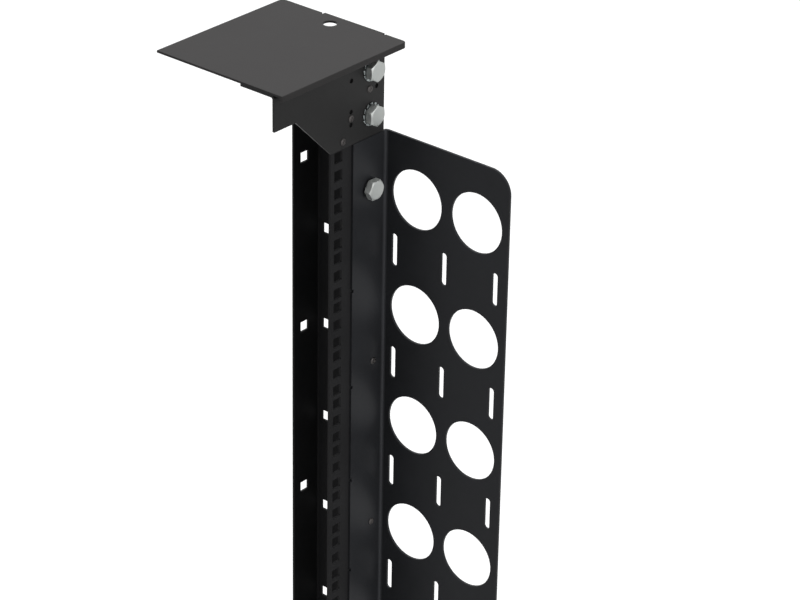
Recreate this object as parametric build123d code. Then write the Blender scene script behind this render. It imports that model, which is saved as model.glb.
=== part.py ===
from build123d import *
import math
import os

os.makedirs("parts", exist_ok=True)

# A section of the front right-hand corner of an open rack frame: the post, the vertical cable panel
# that stands forward of it, and the head of the frame with its cross bar and roof plate.
# The origin is the middle of the two base fixings, on the front face of the post.
# +X points out of the rack, +Y to its back and +Z up.

# Rack grid
RACK_UNIT = 44.45
UNITS_HIGH = 14
EIA_HOLES_IN_UNIT = (6.35, 22.225, 38.1)
STEP_SLACK = 1e-6

# Sheet metal
SHEET = 2.0
BEND_INSIDE = 1.5
SEAM = 0.5

# Post. Insets are from its outer face, and the rack holes stand off the free edge of its front flange.
FIXING_INSET = 19.0
POST_WIDTH = 64.0
POST_DEPTH = 70.0
POST_BACK_FLANGE = 32.0
EIA_HOLE = 9.5
EIA_COLUMN_EDGE = 9.1
WINDOW = 9.5
WEB_WINDOW_DEPTH = 58.4
WEB_WINDOW_DROP = 18.9
WEB_WINDOW_PITCH = 2 * RACK_UNIT
BACK_WINDOW_INSET = 19.0
BACK_WINDOW_DROP = 39.3
BACK_WINDOW_PITCH = 3.5 * RACK_UNIT

# Cable panel
PANEL_REACH = 128.6
PANEL_FLANGE = 39.4
PANEL_CORNER = 19.0
CABLE_HOLE = 51.5
CABLE_HOLE_FROM_FOLD = 34.95
CABLE_HOLE_FROM_EDGE = 32.35
CABLE_ROW_UNITS = 7 / 3
STRAP_SLOT_LONG = 29.0
STRAP_SLOT_WIDE = 5.5
STRAP_SLOT_FROM_FOLD = 12.5
STRAP_SLOT_FROM_EDGE = 12.0
PANEL_BOLT_DROP = RACK_UNIT
PANEL_RIVET_INSET = 12.5
PANEL_RIVET_DROP = 204.8
PANEL_RIVET_PITCH = 3.5 * RACK_UNIT
MARK_NOTCH_DROP = 130.5
MARK_NOTCH_PITCH = 2 * RACK_UNIT
MARK_NOTCH_TALL = 3.0
MARK_NOTCH_DEEP = 1.6

# Frame head: two bolts at each end of the post, the cross bar and the roof plate
HEAD_BOLT_RISE = 20.0
HEAD_BOLT_PITCH = 38.1
HEAD_ABOVE_BOLTS = 15.4
ROOF_LEFT = 112.0
ROOF_OVERHANG_SIDE = 14.3
ROOF_OVERHANG_FRONT = 10.3
ROOF_BACK = 122.0
ROOF_LIP = 5.0
ROOF_CORNER = 4.0
ROOF_EDGE_ROUND = 0.8
ROOF_HOLE = 11.5
ROOF_HOLE_BACK = 59.0
ROOF_HOLE_OUT = 1.0
TONGUE_START = 12.6
TONGUE_END = 77.9
TONGUE_PROUD = 0.8
NICK_WIDE = 2.2
NICK_DEEP = 2.0
BAR_TALL = 32.3
BAR_TOP_FLANGE = 35.0
BAR_END_INSET = 3.0
GUSSET_PAST_POST = 2.0
SIGHT_HOLE = 4.0
SIGHT_HOLES = ((42.4, 55.5), (42.6, 29.0), (42.6, 18.0), (12.3, 41.8))
BAR_RIVETS = ((42.6, 23.5), (20.6, 41.8), (52.0, 6.6))

# Fasteners
BOLT_SHANK = 10.0
BOLT_HOLE = 11.0
BOLT_LENGTH = 20.0
HEX_ACROSS_FLATS = 16.0
HEX_HEAD_TALL = 6.4
HEX_CHAMFER = 0.7
HEX_CHAMFER_TILT = 30.0
NUT_TALL = 8.4
NUT_BORE = 10.2
WASHER_DIAMETER = 20.0
WASHER_BORE = 10.6
WASHER_THICK = 1.6
WASHER_TEETH = 12
TOOTH_GAP_WIDE = 1.9
TOOTH_GAP_DEEP = 2.6
SPRING_WASHER = 17.0
SPRING_SPLIT = 1.2
SPRING_SPLIT_TURN = 35.0
PANEL_BOLT_TURN = 30.0
RIVET_SHANK = 3.2
RIVET_HOLE = 3.4
RIVET_HEAD = 6.0
RIVET_HEAD_TOP = 3.6
RIVET_HEAD_TALL = 1.3
RIVET_TAIL = 2.4

# Places that follow from the sizes above
POST_OUTER = FIXING_INSET
POST_INNER = POST_OUTER - POST_WIDTH
PANEL_BOTTOM = HEAD_BOLT_RISE + HEAD_BOLT_PITCH / 2
PANEL_HEIGHT = UNITS_HIGH * RACK_UNIT
PANEL_TOP = PANEL_BOTTOM + PANEL_HEIGHT
PANEL_MIDDLE = PANEL_BOTTOM + PANEL_HEIGHT / 2
CABLE_ROW_PITCH = CABLE_ROW_UNITS * RACK_UNIT
CABLE_HOLE_COLUMNS = (CABLE_HOLE_FROM_FOLD, PANEL_REACH - CABLE_HOLE_FROM_EDGE)
STRAP_SLOT_COLUMNS = (STRAP_SLOT_FROM_FOLD, PANEL_REACH / 2, PANEL_REACH - STRAP_SLOT_FROM_EDGE)
ROOF_RISE = HEAD_BOLT_RISE + HEAD_BOLT_PITCH + HEAD_ABOVE_BOLTS
ROOF_TOP = PANEL_TOP + ROOF_RISE
ROOF_UNDER = ROOF_TOP - SHEET
POST_END_RISE = ROOF_RISE - 2 * SHEET - BEND_INSIDE
POST_TOP = PANEL_TOP + POST_END_RISE
POST_BOTTOM = PANEL_BOTTOM - POST_END_RISE
ROOF_RIGHT = POST_OUTER + ROOF_OVERHANG_SIDE
BEND_OUTSIDE = BEND_INSIDE + SHEET
UPPER_HEAD_BOLTS = (HEAD_BOLT_RISE, HEAD_BOLT_RISE + HEAD_BOLT_PITCH)


def folded_sheet(outer_path, fold_side, length, plane=Plane.XY):
    """A folded sheet, from the path of its outer face on a plane and its length along the normal."""
    path = FilletPolyline(*outer_path, radius=BEND_OUTSIDE)
    section = make_face(offset(path, amount=SHEET, side=fold_side, kind=Kind.ARC))
    return extrude(plane * section, amount=length, dir=plane.z_dir)


def through_front(x, z, shape):
    """A cutter of the given outline, through every sheet that lies at the front of the post."""
    plane = Plane(origin=(x, 0, z), x_dir=(1, 0, 0), z_dir=(0, -1, 0))
    return extrude(plane * shape, amount=3 * SHEET, both=True)


def through_side(forward, z, shape):
    """A cutter of the given outline, through the sheet at the post's outer face."""
    plane = Plane(origin=(POST_OUTER, -forward, z), x_dir=(0, 1, 0), z_dir=(1, 0, 0))
    return extrude(plane * shape, amount=3 * SHEET, both=True)


def drops(first, pitch, last):
    """Distances below the top of the panel, from the first by equal steps, as far as the last."""
    count = int((last - first) / pitch + STEP_SLACK) + 1
    return [first + step * pitch for step in range(count)]


def bolt_heights():
    """The bolts that hold the frame head, the panel's two ends and the frame's base."""
    head = [PANEL_TOP + rise for rise in UPPER_HEAD_BOLTS]
    panel = [PANEL_TOP - PANEL_BOLT_DROP, PANEL_BOTTOM + PANEL_BOLT_DROP]
    base = [PANEL_BOTTOM - rise for rise in UPPER_HEAD_BOLTS]
    return head, panel, base


def rivet_heights():
    """The blind rivets that hold the panel's flange to the post."""
    return [PANEL_TOP - drop for drop in drops(PANEL_RIVET_DROP, PANEL_RIVET_PITCH, PANEL_HEIGHT)]


def make_post():
    """The post: a channel with the square rack holes in its front flange and windows behind."""
    outer_path = [
        (POST_INNER, 0),
        (POST_OUTER, 0),
        (POST_OUTER, POST_DEPTH),
        (POST_OUTER - POST_BACK_FLANGE, POST_DEPTH),
    ]
    foot_plane = Plane.XY.offset(POST_BOTTOM)
    post = folded_sheet(outer_path, Side.LEFT, POST_TOP - POST_BOTTOM, foot_plane)
    square = Rectangle(EIA_HOLE, EIA_HOLE)
    cutters = []
    for unit in range(UNITS_HIGH):
        for drop in EIA_HOLES_IN_UNIT:
            z = PANEL_TOP - unit * RACK_UNIT - drop
            cutters.append(through_front(POST_INNER + EIA_COLUMN_EDGE, z, square))
    window = Rectangle(WINDOW, WINDOW)
    for drop in drops(WEB_WINDOW_DROP, WEB_WINDOW_PITCH, PANEL_HEIGHT):
        cutters.append(through_side(-WEB_WINDOW_DEPTH, PANEL_TOP - drop, window))
    for drop in drops(BACK_WINDOW_DROP, BACK_WINDOW_PITCH, PANEL_HEIGHT):
        cutter = through_front(POST_OUTER - BACK_WINDOW_INSET, PANEL_TOP - drop, window)
        cutters.append(Pos(0, POST_DEPTH, 0) * cutter)
    head, panel, base = bolt_heights()
    for z in head + panel + base:
        cutters.append(through_front(0, z, Circle(BOLT_HOLE / 2)))
    for z in rivet_heights():
        cutters.append(through_front(POST_OUTER - PANEL_RIVET_INSET, z, Circle(RIVET_HOLE / 2)))
    for inset, rise in BAR_RIVETS:
        cutters.append(through_front(POST_OUTER - inset, PANEL_TOP + rise, Circle(RIVET_HOLE / 2)))
    return post - cutters


def panel_outline():
    """The panel's side view, with its two free corners rounded."""
    back = SHEET
    plane = Plane(origin=(POST_OUTER, 0, PANEL_MIDDLE), x_dir=(0, 1, 0), z_dir=(1, 0, 0))
    width = PANEL_REACH + back
    outline = Pos((back - PANEL_REACH) / 2, 0) * Rectangle(width, PANEL_HEIGHT)
    free_corners = outline.vertices().sort_by(Axis.X)[:2]
    outline = fillet(free_corners, PANEL_CORNER)
    return extrude(plane * outline, amount=POST_WIDTH, both=True)


def make_cable_panel():
    """The vertical cable panel: rows of round cable holes with strap slots between the rows."""
    flange_edge = POST_OUTER - PANEL_FLANGE
    outer_path = [(POST_OUTER + SHEET, -PANEL_REACH), (POST_OUTER + SHEET, 0), (flange_edge, 0)]
    foot_plane = Plane.XY.offset(PANEL_BOTTOM)
    panel = folded_sheet(outer_path, Side.LEFT, PANEL_HEIGHT, foot_plane) & panel_outline()
    round_hole = Circle(CABLE_HOLE / 2)
    strap_slot = Rot(0, 0, 90) * SlotOverall(STRAP_SLOT_LONG, STRAP_SLOT_WIDE)
    cutters = []
    for drop in drops(CABLE_ROW_PITCH / 2, CABLE_ROW_PITCH, PANEL_HEIGHT - CABLE_HOLE / 2):
        for forward in CABLE_HOLE_COLUMNS:
            cutters.append(through_side(forward, PANEL_TOP - drop, round_hole))
    for drop in drops(CABLE_ROW_PITCH, CABLE_ROW_PITCH, PANEL_HEIGHT - STRAP_SLOT_LONG):
        for forward in STRAP_SLOT_COLUMNS:
            cutters.append(through_side(forward, PANEL_TOP - drop, strap_slot))
    for z in bolt_heights()[1]:
        cutters.append(through_front(0, z, Circle(BOLT_HOLE / 2)))
    for z in rivet_heights():
        cutters.append(through_front(POST_OUTER - PANEL_RIVET_INSET, z, Circle(RIVET_HOLE / 2)))
    notch = Rectangle(2 * MARK_NOTCH_DEEP, MARK_NOTCH_TALL)
    for drop in drops(MARK_NOTCH_DROP, MARK_NOTCH_PITCH, PANEL_HEIGHT - MARK_NOTCH_TALL):
        cutters.append(through_front(flange_edge, PANEL_TOP - drop, notch))
    return panel - cutters


def make_cross_bar():
    """The front cross bar of the head: an angle whose wall widens into a gusset over the post."""
    left = -ROOF_LEFT
    right = POST_OUTER - BAR_END_INSET
    front = -SHEET
    bar_top = ROOF_UNDER
    bar_foot = PANEL_TOP + SEAM
    bar_low = ROOF_TOP - BAR_TALL
    side_path = [
        (front + BAR_TOP_FLANGE, bar_top),
        (front, bar_top),
        (front, bar_foot),
    ]
    end_plane = Plane(origin=(left, 0, 0), x_dir=(0, 1, 0), z_dir=(1, 0, 0))
    bar = folded_sheet(side_path, Side.LEFT, right - left, end_plane)
    gusset_foot = POST_INNER - GUSSET_PAST_POST
    gusset_end = gusset_foot - (bar_low - bar_foot)
    away = Polyline(
        (left, bar_foot), (gusset_foot, bar_foot), (gusset_end, bar_low), (left, bar_low), close=True
    )
    front_plane = Plane(origin=(0, 0, 0), x_dir=(1, 0, 0), z_dir=(0, -1, 0))
    cutters = [extrude(front_plane * make_face(away), amount=2 * SHEET, both=True)]
    for rise in UPPER_HEAD_BOLTS:
        cutters.append(through_front(0, PANEL_TOP + rise, Circle(BOLT_HOLE / 2)))
    for inset, rise in BAR_RIVETS:
        cutters.append(through_front(POST_OUTER - inset, PANEL_TOP + rise, Circle(RIVET_HOLE / 2)))
    for inset, rise in SIGHT_HOLES:
        cutters.append(through_front(POST_OUTER - inset, PANEL_TOP + rise, Circle(SIGHT_HOLE / 2)))
    return bar - cutters


def make_roof_plate():
    """The corner of the roof: a flat sheet with a short lip along its front and a tongue at its side."""
    front = -ROOF_OVERHANG_FRONT
    wide = ROOF_RIGHT + ROOF_LEFT
    deep = ROOF_BACK - front
    middle = (-ROOF_LEFT + wide / 2, front + deep / 2)
    plan = Pos(*middle) * Rectangle(wide, deep)
    front_right = plan.vertices().sort_by(Axis.Y)[:2].sort_by(Axis.X)[-1]
    plan = fillet(front_right, ROOF_CORNER)
    block = Pos(0, 0, ROOF_TOP - ROOF_LIP) * extrude(plan, amount=ROOF_LIP)
    top_edges = block.edges().filter_by_position(Axis.Z, ROOF_TOP, ROOF_TOP)
    front_edges = top_edges.filter_by(lambda edge: edge.center().Y < front + ROOF_CORNER)
    block = fillet(front_edges, ROOF_EDGE_ROUND)
    behind_lip = Pos(middle[0], middle[1] + SHEET) * Rectangle(2 * wide, deep)
    hollow = Pos(0, 0, ROOF_TOP - ROOF_LIP) * extrude(behind_lip, amount=ROOF_LIP - SHEET)
    tongue_middle = (TONGUE_START + TONGUE_END) / 2
    tongue = Pos(ROOF_RIGHT, tongue_middle) * Rectangle(2 * TONGUE_PROUD, TONGUE_END - TONGUE_START)
    roof = block - hollow + Pos(0, 0, ROOF_UNDER) * extrude(tongue, amount=SHEET)
    nick = Box(2 * NICK_DEEP, NICK_WIDE, 4 * SHEET)
    cutters = [Pos(ROOF_RIGHT, y, ROOF_TOP) * nick for y in (TONGUE_START, TONGUE_END)]
    hole = Cylinder(ROOF_HOLE / 2, 4 * SHEET)
    cutters.append(Pos(POST_OUTER + ROOF_HOLE_OUT, ROOF_HOLE_BACK, ROOF_TOP) * hole)
    return roof - cutters


def hexagon(tall):
    """A hexagonal bar with one chamfered end, standing on the plane z = 0."""
    across_corners = HEX_ACROSS_FLATS / math.cos(math.radians(30))
    bar = extrude(RegularPolygon(across_corners / 2, 6), amount=tall)
    rim = across_corners / 2 - HEX_CHAMFER
    slope = math.tan(math.radians(HEX_CHAMFER_TILT))
    cone_tall = tall + rim * slope
    cone = Cone(cone_tall / slope, 0, cone_tall, align=(Align.CENTER, Align.CENTER, Align.MIN))
    return bar & cone


def at_front(x, z, stand_off):
    """The place of a fastener whose axis points to the front, its seat at that far off the post."""
    return Plane(origin=(x, -stand_off, z), x_dir=(0, 0, 1), z_dir=(0, -1, 0))


def make_bolt(z, turn):
    """A hexagon bolt through the front sheet and the post, its head over its washer."""
    shank = Pos(0, 0, -BOLT_LENGTH) * Cylinder(
        BOLT_SHANK / 2, BOLT_LENGTH, align=(Align.CENTER, Align.CENTER, Align.MIN)
    )
    tip = shank.edges().sort_by(Axis.Z)[0]
    shank = chamfer(tip, HEX_CHAMFER)
    return at_front(0, z, SHEET + WASHER_THICK) * Rot(0, 0, turn) * (hexagon(HEX_HEAD_TALL) + shank)


def make_toothed_washer(z):
    """A lock washer with straight-edged teeth round its rim."""
    disc = RegularPolygon(WASHER_DIAMETER / 2, WASHER_TEETH) - Circle(WASHER_BORE / 2)
    gap = Pos(WASHER_DIAMETER / 2, 0) * Rectangle(2 * TOOTH_GAP_DEEP, TOOTH_GAP_WIDE)
    for tooth in range(WASHER_TEETH):
        disc -= Rot(0, 0, 360 * tooth / WASHER_TEETH) * gap
    return at_front(0, z, SHEET) * extrude(disc, amount=WASHER_THICK)


def make_spring_washer(z):
    """A split ring, hardly wider than the bolt's head, pressed flat under it."""
    ring = Circle(SPRING_WASHER / 2) - Circle(WASHER_BORE / 2)
    split = Pos(SPRING_WASHER / 2, 0) * Rectangle(SPRING_WASHER / 2, SPRING_SPLIT)
    ring -= Rot(0, 0, SPRING_SPLIT_TURN) * split
    return at_front(0, z, SHEET) * extrude(ring, amount=WASHER_THICK)


def make_nut(z):
    """A hexagon nut behind the front flange of the post."""
    outline = RegularPolygon(HEX_ACROSS_FLATS / 2, 6, major_radius=False) - Circle(NUT_BORE / 2)
    nut = extrude(outline, amount=NUT_TALL)
    return Pos(0, SHEET, z) * Rot(-90, 0, 0) * Rot(0, 0, 90) * nut


def make_rivet(x, z):
    """A blind rivet: a low head on a shank that ends behind the post."""
    upwards = (Align.CENTER, Align.CENTER, Align.MIN)
    head = Cone(RIVET_HEAD / 2, RIVET_HEAD_TOP / 2, RIVET_HEAD_TALL, align=upwards)
    grip = 2 * SHEET
    shank = Cylinder(RIVET_SHANK / 2, grip + RIVET_TAIL, align=upwards)
    return at_front(x, z, SHEET) * (head + Pos(0, 0, -grip - RIVET_TAIL) * shank)


def save(name, shape):
    """Writes one node's solids to its own file."""
    shape.label = name
    export_step(shape, f"parts/{name}.step")


def save_bolt_set(place, z, turn, washer):
    """Writes a bolt, the washer under its head and its nut."""
    save(f"bolt_{place}", make_bolt(z, turn))
    save(f"washer_{place}", washer)
    save(f"nut_{place}", make_nut(z))


save("post", make_post())
save("cable_panel", make_cable_panel())
save("cross_bar", make_cross_bar())
save("roof_plate", make_roof_plate())

head_heights, panel_heights, base_heights = bolt_heights()
for end, height in zip(("lower", "upper"), head_heights):
    save_bolt_set(f"head_{end}", height, 0, make_toothed_washer(height))
for end, height in zip(("top", "bottom"), panel_heights):
    save_bolt_set(f"panel_{end}", height, PANEL_BOLT_TURN, make_spring_washer(height))

panel_rivets = [make_rivet(POST_OUTER - PANEL_RIVET_INSET, height) for height in rivet_heights()]
save("panel_rivets", Compound(panel_rivets))
bar_rivets = [make_rivet(POST_OUTER - inset, PANEL_TOP + rise) for inset, rise in BAR_RIVETS]
save("bar_rivets", Compound(bar_rivets))
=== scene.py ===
import math

import bmesh
import bpy
from mathutils import Matrix, Vector


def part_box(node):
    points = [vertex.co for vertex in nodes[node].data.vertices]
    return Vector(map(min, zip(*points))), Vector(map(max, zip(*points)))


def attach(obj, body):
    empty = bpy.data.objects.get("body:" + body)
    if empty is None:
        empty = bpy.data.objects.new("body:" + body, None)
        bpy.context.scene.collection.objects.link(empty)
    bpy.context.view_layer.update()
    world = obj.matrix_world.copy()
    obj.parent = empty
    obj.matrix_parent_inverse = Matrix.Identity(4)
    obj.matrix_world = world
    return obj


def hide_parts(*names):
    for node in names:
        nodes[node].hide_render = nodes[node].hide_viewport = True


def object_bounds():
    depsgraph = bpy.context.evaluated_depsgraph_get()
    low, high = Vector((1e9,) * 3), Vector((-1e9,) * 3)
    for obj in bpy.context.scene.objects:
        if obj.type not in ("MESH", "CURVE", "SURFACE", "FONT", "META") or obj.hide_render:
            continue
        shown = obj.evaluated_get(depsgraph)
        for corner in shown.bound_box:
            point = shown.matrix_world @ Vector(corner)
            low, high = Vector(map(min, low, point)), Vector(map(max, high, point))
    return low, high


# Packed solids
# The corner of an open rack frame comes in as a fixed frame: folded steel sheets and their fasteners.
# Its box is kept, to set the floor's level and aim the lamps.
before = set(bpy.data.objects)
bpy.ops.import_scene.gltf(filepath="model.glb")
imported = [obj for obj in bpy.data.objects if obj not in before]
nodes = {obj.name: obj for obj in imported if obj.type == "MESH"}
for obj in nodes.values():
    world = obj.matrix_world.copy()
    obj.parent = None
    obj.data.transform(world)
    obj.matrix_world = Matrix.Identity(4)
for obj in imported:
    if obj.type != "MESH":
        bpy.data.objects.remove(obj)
cad_box = [list(corner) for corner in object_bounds()]
MM = 0.001

# Post
# The rack post is a channel folded from 2 mm steel sheet, with punched square holes. It is finished in
# black polyester powder, sprayed on and baked, which rounds every punched edge a little.
POST_BLACK = "#202021"
POST_FILM = "#303031"
POST_ROUGHNESS = 0.6
POST_SPECULAR = 0.05
COAT_IOR = 1.5
COAT_CLOUD_SIZE = 60 * MM
COAT_PEEL_SIZE = 1.6 * MM
COAT_GRAIN_SIZE = 0.35 * MM
COAT_PEEL_DEEP = 0.02 * MM
COAT_GRAIN_DEEP = 0.006 * MM
COAT_SHEEN_SPREAD = 0.055
NOISE_LOW = 0.3
NOISE_HIGH = 0.7
COATED_EDGE = 0.3 * MM
EDGE_SEGMENTS = 2
CUT_EDGE_ANGLE = math.radians(50)
FLAT_WITHIN = math.radians(0.5)
SAME_POINT = 0.002 * MM


def srgb(hex_colour):
    """A hex colour as linear red, green and blue, with full alpha."""
    channels = [int(hex_colour[place:place + 2], 16) / 255 for place in (1, 3, 5)]
    linear = [c / 12.92 if c <= 0.04045 else ((c + 0.055) / 1.055) ** 2.4 for c in channels]
    return (*linear, 1.0)


def add(tree, kind, settings, links=()):
    """Adds a node with its properties and input values, and links the inputs that are given a source."""
    node = tree.nodes.new(kind)
    for name, value in settings.items():
        if isinstance(name, int) or name in node.inputs:
            node.inputs[name].default_value = value
        else:
            setattr(node, name, value)
    for name, source in dict(links).items():
        tree.links.new(source, node.inputs[name])
    return node


def start_material(name):
    """A material with an empty node tree."""
    material = bpy.data.materials.new(name)
    material.use_nodes = True
    material.node_tree.nodes.clear()
    return material, material.node_tree


def powder_coat(name, black, film, roughness, specular):
    """Baked polyester powder on steel: an even near black with a low sheen, whose film is faintly
    cloudy and whose surface has the fine orange peel of powder that has flowed together."""
    material, tree = start_material(name)
    place = add(tree, "ShaderNodeTexCoord", {}).outputs["Object"]
    clouds = add(
        tree, "ShaderNodeTexNoise", {"Scale": 1 / COAT_CLOUD_SIZE, "Detail": 5.0}, {"Vector": place}
    )
    peel = add(
        tree, "ShaderNodeTexNoise", {"Scale": 1 / COAT_PEEL_SIZE, "Detail": 1.0}, {"Vector": place}
    )
    grain = add(
        tree, "ShaderNodeTexNoise", {"Scale": 1 / COAT_GRAIN_SIZE, "Detail": 2.0}, {"Vector": place}
    )
    colour = add(
        tree,
        "ShaderNodeMix",
        {"data_type": "RGBA", 6: srgb(black), 7: srgb(film)},
        {0: clouds.outputs["Fac"]},
    )
    sheen_range = {
        "From Min": NOISE_LOW,
        "From Max": NOISE_HIGH,
        "To Min": roughness - COAT_SHEEN_SPREAD,
        "To Max": roughness + COAT_SHEEN_SPREAD,
    }
    sheen = add(tree, "ShaderNodeMapRange", sheen_range, {"Value": clouds.outputs["Fac"]})
    waves = add(
        tree,
        "ShaderNodeBump",
        {"Strength": 1.0, "Distance": COAT_PEEL_DEEP},
        {"Height": peel.outputs["Fac"]},
    )
    bumps = add(
        tree,
        "ShaderNodeBump",
        {"Strength": 1.0, "Distance": COAT_GRAIN_DEEP},
        {"Height": grain.outputs["Fac"], "Normal": waves.outputs["Normal"]},
    )
    coat = add(
        tree,
        "ShaderNodeBsdfPrincipled",
        {"IOR": COAT_IOR, "Specular IOR Level": specular, "Metallic": 0.0},
        {
            "Base Color": colour.outputs[2],
            "Roughness": sheen.outputs["Result"],
            "Normal": bumps.outputs["Normal"],
        },
    )
    add(tree, "ShaderNodeOutputMaterial", {}, {"Surface": coat.outputs["BSDF"]})
    return material


def finish_sheet(node_name, material):
    """Gives a folded sheet its coat, and rounds its cut edges by the thickness of the baked film."""
    sheet = nodes[node_name]
    for slot in sheet.material_slots:
        slot.material = material
    weld = sheet.modifiers.new("Joined edges", "WELD")
    weld.merge_threshold = SAME_POINT
    flat = sheet.modifiers.new("Whole flat faces", "DECIMATE")
    flat.decimate_type = "DISSOLVE"
    flat.angle_limit = FLAT_WITHIN
    edge = sheet.modifiers.new("Coated edges", "BEVEL")
    edge.width = COATED_EDGE
    edge.segments = EDGE_SEGMENTS
    edge.limit_method = "ANGLE"
    edge.angle_limit = CUT_EDGE_ANGLE
    sheet.modifiers.new("Even shading", "WEIGHTED_NORMAL")
    return sheet


post_coat = powder_coat("Powder coat on the post", POST_BLACK, POST_FILM, POST_ROUGHNESS, POST_SPECULAR)
finish_sheet("post", post_coat)

# Cable panel
# The panel is one 2 mm sheet, folded once, with laser-cut round holes and strap slots. Its coat is the same
# black powder, a touch cooler and smoother. Its black is painted paler than the post's, as painted light
# on the panel's side face, which the lamps leave dim.
PANEL_BLACK = "#242527"
PANEL_FILM = "#333437"
PANEL_ROUGHNESS = 0.4
PANEL_SPECULAR = 0.08
PANEL_SHEET = 2.0 * MM
# The painted highlight along the fold: its colour, and how far it spreads from the fold's axis.
FOLD_HIGHLIGHT = "#434447"
FOLD_CORE = 1.4 * MM
FOLD_REACH = 3.2 * MM


def paint_fold_highlight(material, x, y):
    """A painted highlight: a paler line along the fold, inside and out, where the bend catches light."""
    tree = material.node_tree
    coat = next(node for node in tree.nodes if node.type == "BSDF_PRINCIPLED")
    film = coat.inputs["Base Color"].links[0].from_socket
    place = add(tree, "ShaderNodeTexCoord", {}).outputs["Object"]
    across = add(
        tree,
        "ShaderNodeVectorMath",
        {"operation": "MULTIPLY_ADD", 1: (1, 1, 0), 2: (-x, -y, 0)},
        {0: place},
    )
    away = add(tree, "ShaderNodeVectorMath", {"operation": "LENGTH"}, {0: across.outputs["Vector"]})
    line = add(
        tree,
        "ShaderNodeMapRange",
        {
            "interpolation_type": "SMOOTHSTEP",
            "From Min": FOLD_CORE,
            "From Max": FOLD_REACH,
            "To Min": 1.0,
            "To Max": 0.0,
        },
        {"Value": away.outputs["Value"]},
    )
    colour = add(
        tree,
        "ShaderNodeMix",
        {"data_type": "RGBA", 7: srgb(FOLD_HIGHLIGHT)},
        {0: line.outputs["Result"], 6: film},
    )
    tree.links.new(colour.outputs[2], coat.inputs["Base Color"])


panel_coat = powder_coat(
    "Powder coat on the cable panel", PANEL_BLACK, PANEL_FILM, PANEL_ROUGHNESS, PANEL_SPECULAR
)
panel_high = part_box("cable_panel")[1]
# Paints a highlight along the panel's fold.
paint_fold_highlight(panel_coat, panel_high.x - PANEL_SHEET, panel_high.y - PANEL_SHEET)
finish_sheet("cable_panel", panel_coat)

# Cross bar
# The bar across the head of the frame is an angle folded from sheet. Its wall widens into a gusset
# over the post and is coated as the post is.
BAR_BLACK = "#252525"
BAR_FILM = "#343434"
BAR_ROUGHNESS = 0.5
BAR_SPECULAR = 0.1
bar_coat = powder_coat("Powder coat on the cross bar", BAR_BLACK, BAR_FILM, BAR_ROUGHNESS, BAR_SPECULAR)
finish_sheet("cross_bar", bar_coat)

# Roof plate
# The roof is a flat sheet with a short lip folded down along its front. It faces the light, so its
# coat reads as a mid grey.
ROOF_BLACK = "#292828"
ROOF_FILM = "#363535"
ROOF_ROUGHNESS = 0.52
ROOF_SPECULAR = 0.1
roof_coat = powder_coat("Powder coat on the roof", ROOF_BLACK, ROOF_FILM, ROOF_ROUGHNESS, ROOF_SPECULAR)
finish_sheet("roof_plate", roof_coat)

# Hexagon bolts
# Four M10 bolts, cold forged with a washer face and a turned chamfer, and threaded to the head. They
# are plated with bright zinc, which leaves them a pale grey with softly rounded corners.
HEX_WIDE = 16.0 * MM
HEX_CORNER = 0.35 * MM
HEX_FACE = 7.4 * MM
HEAD_TALL = 6.4 * MM
HEAD_CHAMFER = math.tan(math.radians(30))
WASHER_FACE_TALL = 0.4 * MM
EDGE_ROUND = 0.14 * MM
THREAD_RADIUS = 5.0 * MM
THREAD_PITCH = 1.5 * MM
THREAD_DEEP = 0.86 * MM
THREAD_RUNOUT = 2.0 * MM
THREAD_ROWS = 8
TIP_CHAMFER = 1.1 * MM
SIDE_STEPS = (0, 0.55, 1.1, 3, 8, 15, 22.5, 30, 37.5, 45, 52, 57, 58.9, 59.45)
HEX_ANGLES = [math.radians(60 * side + step) for side in range(6) for step in SIDE_STEPS]
PANEL_BOLT_TURN = math.radians(30)
ZINC = "#B4B6B3"
ZINC_SHADE = "#A3A7A6"
ZINC_ROUGHNESS = 0.58
PLATE_CLOUD_SIZE = 4 * MM
FORGED_DIMPLE_SIZE = 0.9 * MM
FORGED_DIMPLE_DEEP = 0.02 * MM
PLATE_HAZE_SPREAD = 0.07


def fastener_metal(name, pale, shade, roughness):
    """Zinc plate or plain aluminium: softly mirror-like, a little cloudy, and faintly dimpled where
    the blank was pressed."""
    material, tree = start_material(name)
    place = add(tree, "ShaderNodeTexCoord", {}).outputs["Object"]
    clouds = add(
        tree, "ShaderNodeTexNoise", {"Scale": 1 / PLATE_CLOUD_SIZE, "Detail": 3.0}, {"Vector": place}
    )
    dimples = add(
        tree, "ShaderNodeTexNoise", {"Scale": 1 / FORGED_DIMPLE_SIZE, "Detail": 2.0}, {"Vector": place}
    )
    colour = add(
        tree,
        "ShaderNodeMix",
        {"data_type": "RGBA", 6: srgb(shade), 7: srgb(pale)},
        {0: clouds.outputs["Fac"]},
    )
    haze_range = {
        "From Min": NOISE_LOW,
        "From Max": NOISE_HIGH,
        "To Min": roughness - PLATE_HAZE_SPREAD,
        "To Max": roughness + PLATE_HAZE_SPREAD,
    }
    haze = add(tree, "ShaderNodeMapRange", haze_range, {"Value": clouds.outputs["Fac"]})
    bumps = add(
        tree,
        "ShaderNodeBump",
        {"Strength": 1.0, "Distance": FORGED_DIMPLE_DEEP},
        {"Height": dimples.outputs["Fac"]},
    )
    metal = add(
        tree,
        "ShaderNodeBsdfPrincipled",
        {"Metallic": 1.0},
        {
            "Base Color": colour.outputs[2],
            "Roughness": haze.outputs["Result"],
            "Normal": bumps.outputs["Normal"],
        },
    )
    add(tree, "ShaderNodeOutputMaterial", {}, {"Surface": metal.outputs["BSDF"]})
    return material


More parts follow.
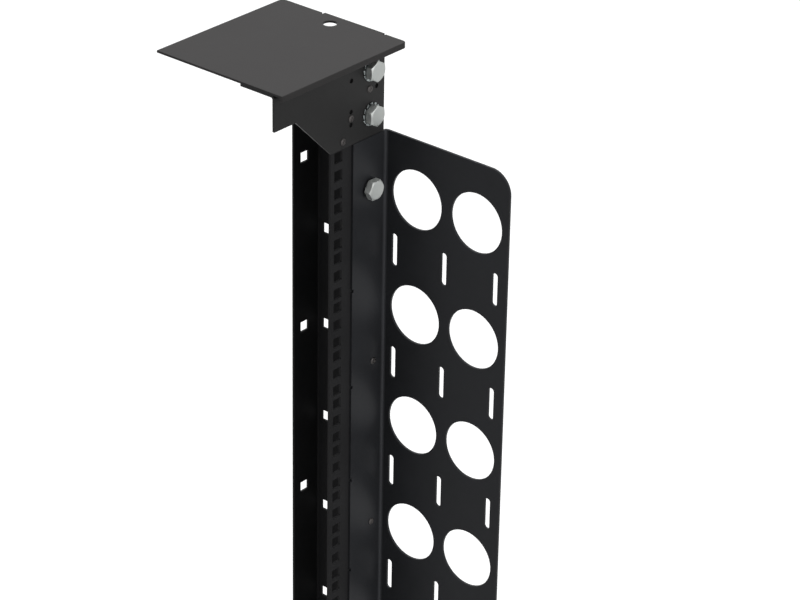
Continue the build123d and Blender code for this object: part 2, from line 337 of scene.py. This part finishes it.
def hex_reach(angle, wide, corner):
    """How far a hexagon with rounded corners reaches from its axis, with one corner at angle 0."""
    off_corner = abs((math.degrees(angle) + 30) % 60 - 30)
    turn = math.radians(off_corner)
    sixth = math.radians(30)
    middle = (wide / 2 - corner) / math.cos(sixth)
    touch = math.atan2(corner * math.sin(sixth), middle + corner * math.cos(sixth))
    if turn < touch:
        return middle * math.cos(turn) + math.sqrt(corner**2 - (middle * math.sin(turn)) ** 2)
    return wide / 2 / math.cos(sixth - turn)


def round_ring(radius, height):
    """A circle of points about the axis."""
    return [(radius * math.cos(angle), radius * math.sin(angle), height) for angle in HEX_ANGLES]


def hex_ring(inset, height, slope=0.0):
    """A hexagon of points, whose height falls away outside the chamfer circle by the given slope."""
    ring = []
    for angle in HEX_ANGLES:
        reach = hex_reach(angle, HEX_WIDE, HEX_CORNER) - inset
        ring.append((reach * math.cos(angle), reach * math.sin(angle), height - slope * (reach - HEX_FACE)))
    return ring


def lofted_mesh(name, rings, is_tube=False):
    """A closed skin over rings with as many points each: a tube joined end to end, or capped."""
    skin = bmesh.new()
    rows = [[skin.verts.new(point) for point in ring] for ring in rings]
    pairs = list(zip(rows, rows[1:]))
    if is_tube:
        pairs.append((rows[-1], rows[0]))
    else:
        skin.faces.new(rows[0])
        skin.faces.new(rows[-1])
    count = len(rings[0])
    for lower, upper in pairs:
        for here in range(count):
            after = (here + 1) % count
            skin.faces.new((lower[here], lower[after], upper[after], upper[here]))
    bmesh.ops.recalc_face_normals(skin, faces=skin.faces)
    mesh = bpy.data.meshes.new(name)
    skin.to_mesh(mesh)
    skin.free()
    return mesh


def facing_front(x, seat, z, turn=0.0):
    """The place of a fastener whose axis points to the front, with its seat at the given depth."""
    to_front = Matrix(((0, -1, 0, 0), (0, 0, -1, 0), (1, 0, 0, 0), (0, 0, 0, 1)))
    return Matrix.Translation((x, seat, z)) @ to_front @ Matrix.Rotation(turn, 4, "Z")


def on_axis(node_name, seat, turn=0.0):
    """The same, on the axis of the fastener's own solid."""
    low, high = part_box(node_name)
    middle = (low + high) / 2
    return facing_front(middle.x, seat, middle.z, turn)


def fit_piece(name, mesh, place, material, node_name):
    """Puts a finished mesh in its place, to stand for its plain solid."""
    mesh.transform(place)
    mesh.shade_smooth()
    mesh.materials.append(material)
    piece = bpy.data.objects.new(name, mesh)
    bpy.context.scene.collection.objects.link(piece)
    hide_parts(node_name)
    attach(piece, "root")
    return piece


def even_shading(piece):
    """Shades each broad face flat and lets only the narrow rounded edges turn the light."""
    piece.modifiers.new("Even shading", "WEIGHTED_NORMAL")


def thread_rings(length):
    """A helical thread from under the head to the chamfered tip, as rings of points down the shank."""
    count = math.ceil(length / THREAD_PITCH * THREAD_ROWS)
    rings = []
    for row in range(count + 1):
        depth = length * row / count
        ring = []
        for angle in HEX_ANGLES:
            phase = (depth / THREAD_PITCH - angle / math.tau) % 1
            groove = THREAD_DEEP * (0.5 - 0.5 * math.cos(math.tau * phase)) * min(1, depth / THREAD_RUNOUT)
            radius = min(THREAD_RADIUS - groove, THREAD_RADIUS - TIP_CHAMFER + length - depth)
            ring.append((radius * math.cos(angle), radius * math.sin(angle), -depth))
        rings.append(ring)
    return rings


def bolt_rings(length):
    """The head from the middle of its face to its seat, and then the threaded shank."""
    flank_top = HEAD_TALL - EDGE_ROUND
    head = [
        round_ring(HEX_FACE / 2, HEAD_TALL),
        round_ring(HEX_FACE - 2 * EDGE_ROUND, HEAD_TALL),
        round_ring(HEX_FACE, HEAD_TALL - EDGE_ROUND * HEAD_CHAMFER / 2),
        hex_ring(EDGE_ROUND, HEAD_TALL, HEAD_CHAMFER),
        hex_ring(0, flank_top, HEAD_CHAMFER),
        hex_ring(0, WASHER_FACE_TALL + EDGE_ROUND),
        hex_ring(EDGE_ROUND, WASHER_FACE_TALL),
        round_ring(HEX_FACE, WASHER_FACE_TALL),
        round_ring(HEX_FACE, 0),
    ]
    return head + thread_rings(length)


bolt_plate = fastener_metal("Bright zinc plate on bolts", ZINC, ZINC_SHADE, ZINC_ROUGHNESS)
bolt_turns = {
    "head_lower": 0.0,
    "head_upper": 0.0,
    "panel_top": PANEL_BOLT_TURN,
    "panel_bottom": PANEL_BOLT_TURN,
}
for place_name, turn in bolt_turns.items():
    node_name = "bolt_" + place_name
    low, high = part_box(node_name)
    seat = low.y + HEAD_TALL
    mesh = lofted_mesh(node_name, bolt_rings(high.y - seat))
    place = on_axis(node_name, seat, turn)
    even_shading(fit_piece("Bolt_" + place_name, mesh, place, bolt_plate, node_name))

# Hexagon nuts
# Each bolt is held behind the post's flange by a pressed nut, chamfered on both faces and zinc plated
# like the bolts. Its bore is countersunk where the thread starts.
NUT_TALL = 8.4 * MM
NUT_BORE = 5.15 * MM
NUT_SINK = 0.5 * MM


def nut_rings():
    """Once round the nut's section: up its flanks, in over the outer face and back through the bore."""
    return [
        round_ring(NUT_BORE + NUT_SINK, 0),
        round_ring(HEX_FACE - EDGE_ROUND, 0),
        round_ring(HEX_FACE, EDGE_ROUND * HEAD_CHAMFER / 2),
        hex_ring(EDGE_ROUND, 0, -HEAD_CHAMFER),
        hex_ring(0, EDGE_ROUND, -HEAD_CHAMFER),
        hex_ring(0, NUT_TALL - EDGE_ROUND, HEAD_CHAMFER),
        hex_ring(EDGE_ROUND, NUT_TALL, HEAD_CHAMFER),
        round_ring(HEX_FACE, NUT_TALL - EDGE_ROUND * HEAD_CHAMFER / 2),
        round_ring(HEX_FACE - EDGE_ROUND, NUT_TALL),
        round_ring(NUT_BORE + NUT_SINK, NUT_TALL),
        round_ring(NUT_BORE, NUT_TALL - NUT_SINK),
        round_ring(NUT_BORE, NUT_SINK),
    ]


for place_name in bolt_turns:
    node_name = "nut_" + place_name
    low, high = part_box(node_name)
    mesh = lofted_mesh(node_name, nut_rings(), is_tube=True)
    place = on_axis(node_name, high.y)
    even_shading(fit_piece("Nut_" + place_name, mesh, place, bolt_plate, node_name))

# Toothed washers
# Under each head bolt lies a lock washer stamped from 0.7 mm spring steel, with twelve teeth twisted
# out of its plane so that they bite. It is zinc plated, and duller than the bolt.
TEETH = 12
TOOTH_THICK = 0.7 * MM
TOOTH_TWIST = math.radians(17)
RING_BORE = 5.3 * MM
RING_ROOT = 7.5 * MM
TOOTH_TIP = 9.7 * MM
TOOTH_SHARE = 0.66
TOOTH_COLUMNS = 5
RING_EDGE = 0.12 * MM
WASHER_ZINC = "#A6ABAB"
WASHER_SHADE = "#8E9596"
WASHER_ROUGHNESS = 0.45


def toothed_sheet(name):
    """The washer's middle surface: a ring, and teeth that twist more towards their tips."""
    skin = bmesh.new()
    step = math.tau / TEETH
    reaches = (RING_BORE, (RING_BORE + RING_ROOT) / 2, RING_ROOT, (RING_ROOT + TOOTH_TIP) / 2, TOOTH_TIP)
    columns = []
    for tooth in range(TEETH):
        for column in range(TOOTH_COLUMNS):
            offset = (column / (TOOTH_COLUMNS - 1) - 0.5) * step * TOOTH_SHARE
            angle = tooth * step + offset
            points = []
            for reach in reaches:
                rise = max(0, reach - RING_ROOT) / (TOOTH_TIP - RING_ROOT)
                height = math.sin(offset) * reach * math.sin(TOOTH_TWIST * rise)
                points.append(skin.verts.new((reach * math.cos(angle), reach * math.sin(angle), height)))
            columns.append(points)
    ring_rows = reaches.index(RING_ROOT)
    for here, column in enumerate(columns):
        after = columns[(here + 1) % len(columns)]
        is_gap = here % TOOTH_COLUMNS == TOOTH_COLUMNS - 1
        for row in range(ring_rows if is_gap else len(reaches) - 1):
            skin.faces.new((column[row], column[row + 1], after[row + 1], after[row]))
    bmesh.ops.recalc_face_normals(skin, faces=skin.faces)
    mesh = bpy.data.meshes.new(name)
    skin.to_mesh(mesh)
    skin.free()
    return mesh


washer_plate = fastener_metal("Dull zinc on toothed washers", WASHER_ZINC, WASHER_SHADE, WASHER_ROUGHNESS)
for place_name in ("head_lower", "head_upper"):
    node_name = "washer_" + place_name
    low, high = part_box(node_name)
    place = on_axis(node_name, (low.y + high.y) / 2)
    mesh = toothed_sheet(node_name)
    washer = fit_piece("Washer_" + place_name, mesh, place, washer_plate, node_name)
    thick = washer.modifiers.new("Sheet thickness", "SOLIDIFY")
    thick.thickness = TOOTH_THICK
    thick.offset = 0
    edge = washer.modifiers.new("Stamped edges", "BEVEL")
    edge.width = RING_EDGE
    edge.segments = EDGE_SEGMENTS
    edge.limit_method = "ANGLE"
    edge.angle_limit = CUT_EDGE_ANGLE
    even_shading(washer)

# Spring washers
# The panel's bolts have a split ring of square wire instead, coiled from spring steel and coated
# black, hardly wider than the head. Its two ends stand a little apart.
SPRING_RADIUS = 6.9 * MM
SPRING_WIDE = 3.1 * MM
SPRING_THICK = 1.25 * MM
SPRING_RISE = 0.3 * MM
SPRING_SPLIT = math.radians(8)
SPRING_SPLIT_TURN = math.radians(35)
SPRING_STEPS = 64
SPRING_EDGE = 0.2 * MM
SPRING_BLACK = "#17181A"
SPRING_FILM = "#2A2A2B"
SPRING_ROUGHNESS = 0.45
SPRING_SPECULAR = 0.1


def spring_rings():
    """The wire's section, carried once round the axis and rising from one end to the other."""
    half_wide = SPRING_WIDE / 2
    half_thick = SPRING_THICK / 2
    section = []
    for across, up in ((1, 1), (-1, 1), (-1, -1), (1, -1)):
        near = (across * half_wide, up * (half_thick - SPRING_EDGE))
        far = (across * (half_wide - SPRING_EDGE), up * half_thick)
        section += [near, far] if across == up else [far, near]
    rings = []
    for step in range(SPRING_STEPS + 1):
        share = step / SPRING_STEPS
        angle = SPRING_SPLIT_TURN + SPRING_SPLIT / 2 + share * (math.tau - SPRING_SPLIT)
        rise = (share - 0.5) * SPRING_RISE
        ring = []
        for across, up in section:
            reach = SPRING_RADIUS + across
            ring.append((reach * math.cos(angle), reach * math.sin(angle), up + rise))
        rings.append(ring)
    return rings


spring_coat = powder_coat(
    "Black coat on spring washers", SPRING_BLACK, SPRING_FILM, SPRING_ROUGHNESS, SPRING_SPECULAR
)
for place_name in ("panel_top", "panel_bottom"):
    node_name = "washer_" + place_name
    low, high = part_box(node_name)
    mesh = lofted_mesh(node_name, spring_rings())
    place = on_axis(node_name, (low.y + high.y) / 2)
    even_shading(fit_piece("Washer_" + place_name, mesh, place, spring_coat, node_name))

# Blind rivets
# Three hold the panel to the post and three sit in the cross bar's wall. They are pulled aluminium
# rivets: a low dome round the broken stem, left dull and darkened by a film of powder overspray.
RIVET_HEAD = 3.0 * MM
RIVET_STEM = 0.95 * MM
RIVET_STEM_ROUND = 0.06 * MM
RIVET_SUNK = 0.5 * MM
RIVET_RIM = 0.12 * MM
RIVET_TALL = 1.3 * MM
RIVET_EDGE = 0.18 * MM
RIVET_DOME_STEPS = 7
RIVET_SHANK = 1.6 * MM
RIVET_TAIL = 2.15 * MM
RIVET_TAIL_LONG = 1.9 * MM
RIVET_TAIL_SLOPE = 0.4 * MM
RIVET_TAIL_ROUND = 0.55 * MM
RIVET_GRIP = 4.0 * MM
RIVET_STEPS = 40
BAR_RIVET_OUT = 9.4 * MM
BAR_RIVET_UP = 16.9 * MM
RIVET_GREY = "#565352"
RIVET_SHADE = "#3F3D3D"
RIVET_ROUGHNESS = 0.5


def rivet_rings():
    """From the broken stem in its recess, over the domed head, and down the shank to its swollen tail."""
    stem_top = RIVET_TALL - RIVET_SUNK
    rim = RIVET_STEM + RIVET_RIM
    profile = [
        (RIVET_STEM / 2, stem_top),
        (RIVET_STEM - RIVET_STEM_ROUND, stem_top),
        (RIVET_STEM, stem_top + 2 * RIVET_STEM_ROUND),
        (rim, RIVET_TALL),
    ]
    for step in range(1, RIVET_DOME_STEPS + 1):
        turn = math.pi / 2 * step / RIVET_DOME_STEPS
        reach = rim + (RIVET_HEAD - rim) * math.sin(turn)
        profile.append((reach, RIVET_EDGE + (RIVET_TALL - RIVET_EDGE) * math.cos(turn)))
    profile += [
        (RIVET_HEAD, 0),
        (RIVET_SHANK, 0),
        (RIVET_SHANK, -RIVET_GRIP),
        (RIVET_TAIL, -RIVET_GRIP - RIVET_TAIL_SLOPE),
        (RIVET_TAIL, -RIVET_GRIP - RIVET_TAIL_LONG + RIVET_TAIL_ROUND),
        (RIVET_STEM, -RIVET_GRIP - RIVET_TAIL_LONG),
    ]
    rings = []
    for reach, height in profile:
        ring = []
        for step in range(RIVET_STEPS):
            angle = math.tau * step / RIVET_STEPS
            ring.append((reach * math.cos(angle), reach * math.sin(angle), height))
        rings.append(ring)
    return rings


low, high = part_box("panel_rivets")
panel_rivet_x = (low.x + high.x) / 2
panel_rivet_heights = (high.z - RIVET_HEAD, (low.z + high.z) / 2, low.z + RIVET_HEAD)
rivet_seat = low.y + RIVET_TALL
rivet_places = {"panel_rivets": [(panel_rivet_x, z) for z in panel_rivet_heights]}
low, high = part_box("bar_rivets")
rivet_places["bar_rivets"] = [
    (low.x + RIVET_HEAD, low.z + RIVET_HEAD),
    (low.x + RIVET_HEAD + BAR_RIVET_OUT, low.z + RIVET_HEAD + BAR_RIVET_UP),
    (high.x - RIVET_HEAD, high.z - RIVET_HEAD),
]
rivet_metal = fastener_metal("Dull aluminium of blind rivets", RIVET_GREY, RIVET_SHADE, RIVET_ROUGHNESS)
for node_name, places in rivet_places.items():
    for number, (x, z) in enumerate(places, start=1):
        mesh = lofted_mesh(node_name, rivet_rings())
        name = node_name.capitalize() + f"_{number}"
        even_shading(fit_piece(name, mesh, facing_front(x, rivet_seat, z), rivet_metal, node_name))

# Floor
# A plain floor under the post's foot. Its pale grey paint throws little light back up at the object,
# and a glow that only the camera and shiny surfaces see makes it look white. It is stage, not part
# of the object.
FLOOR_WIDE = 14.0
FLOOR_PAINT = "#BABABA"
FLOOR_GLOW = 0.62
FLOOR_ROUGHNESS = 0.9
floor_level = cad_box[0][2]


def seen_directly(tree):
    """1 for rays that come from the camera, a mirror-like surface or through glass, and 0 for light."""
    rays = add(tree, "ShaderNodeLightPath", {}).outputs
    gloss = add(
        tree,
        "ShaderNodeMath",
        {"operation": "MAXIMUM"},
        {0: rays["Is Camera Ray"], 1: rays["Is Glossy Ray"]},
    )
    seen = add(
        tree,
        "ShaderNodeMath",
        {"operation": "MAXIMUM"},
        {0: gloss.outputs["Value"], 1: rays["Is Transmission Ray"]},
    )
    return seen.outputs["Value"]


floor_material, floor_tree = start_material("Pale studio floor")
glow = add(
    floor_tree, "ShaderNodeMath", {"operation": "MULTIPLY", 1: FLOOR_GLOW}, {0: seen_directly(floor_tree)}
)
paint = add(
    floor_tree,
    "ShaderNodeBsdfPrincipled",
    {
        "Base Color": srgb(FLOOR_PAINT),
        "Roughness": FLOOR_ROUGHNESS,
        "Specular IOR Level": 0.0,
        "Emission Color": (1, 1, 1, 1),
    },
    {"Emission Strength": glow.outputs["Value"]},
)
add(floor_tree, "ShaderNodeOutputMaterial", {}, {"Surface": paint.outputs["BSDF"]})
floor_mesh = bpy.data.meshes.new("Floor")
half = FLOOR_WIDE / 2
floor_corners = [(-half, -half), (half, -half), (half, half), (-half, half)]
floor_mesh.from_pydata([(x, y, floor_level) for x, y in floor_corners], [], [(0, 1, 2, 3)])
floor_mesh.materials.append(floor_material)
floor = bpy.data.objects.new("Floor", floor_mesh)
bpy.context.scene.collection.objects.link(floor)

# Studio light
# A wide soft box hangs over the rack, with weaker ones at its front and behind it, as in a product
# studio. The room itself is seen as white and lights the object faintly.
ROOM_LIGHT = 0.33
SOFT_BOXES = {
    "Overhead soft box": {"place": (0.2, 0.5, 3.2), "wide": 2.6, "watts": 88.0},
    "Front soft box": {"place": (-0.2, -3.3, 1.5), "wide": 1.6, "watts": 38.0},
    "Back soft box": {"place": (0.4, 3.3, 0.9), "wide": 1.6, "watts": 24.0},
}
object_middle = (Vector(cad_box[0]) + Vector(cad_box[1])) / 2
for name, box in SOFT_BOXES.items():
    lamp = bpy.data.lights.new(name, "AREA")
    lamp.shape = "SQUARE"
    lamp.size = box["wide"]
    lamp.energy = box["watts"]
    holder = bpy.data.objects.new(name, lamp)
    holder.location = box["place"]
    holder.rotation_euler = (Vector(box["place"]) - object_middle).to_track_quat("Z", "Y").to_euler()
    bpy.context.scene.collection.objects.link(holder)

world = bpy.data.worlds.new("Studio")
bpy.context.scene.world = world
world.use_nodes = True
world.node_tree.nodes.clear()
faint = add(world.node_tree, "ShaderNodeBackground", {"Color": (1, 1, 1, 1), "Strength": ROOM_LIGHT})
white = add(world.node_tree, "ShaderNodeBackground", {"Color": (1, 1, 1, 1), "Strength": 1.0})
room = add(
    world.node_tree,
    "ShaderNodeMixShader",
    {},
    {0: seen_directly(world.node_tree), 1: faint.outputs["Background"], 2: white.outputs["Background"]},
)
add(world.node_tree, "ShaderNodeOutputWorld", {}, {"Surface": room.outputs["Shader"]})

# Camera
# It stands at the front left, above the head of the frame, and looks down along the panel. The
# sensor and the focal length are in millimetres.
CAMERA_PLACE = (-1.637, -1.409, 1.653)
CAMERA_TURN = math.radians(-50)
CAMERA_DOWN = math.radians(27.78)
CAMERA_ROLL = math.radians(1)
CAMERA_SENSOR = 36.0
CAMERA_FOCAL = 135.0
camera = bpy.data.cameras.new("Camera")
camera.sensor_width = CAMERA_SENSOR
camera.lens = CAMERA_FOCAL
camera_stand = bpy.data.objects.new("Camera", camera)
turn = Matrix.Rotation(CAMERA_TURN, 4, "Z") @ Matrix.Rotation(math.pi / 2 - CAMERA_DOWN, 4, "X")
camera_stand.matrix_world = Matrix.Translation(CAMERA_PLACE) @ turn @ Matrix.Rotation(CAMERA_ROLL, 4, "Z")
bpy.context.scene.collection.objects.link(camera_stand)
bpy.context.scene.camera = camera_stand
bpy.context.scene.view_settings.view_transform = "Standard"
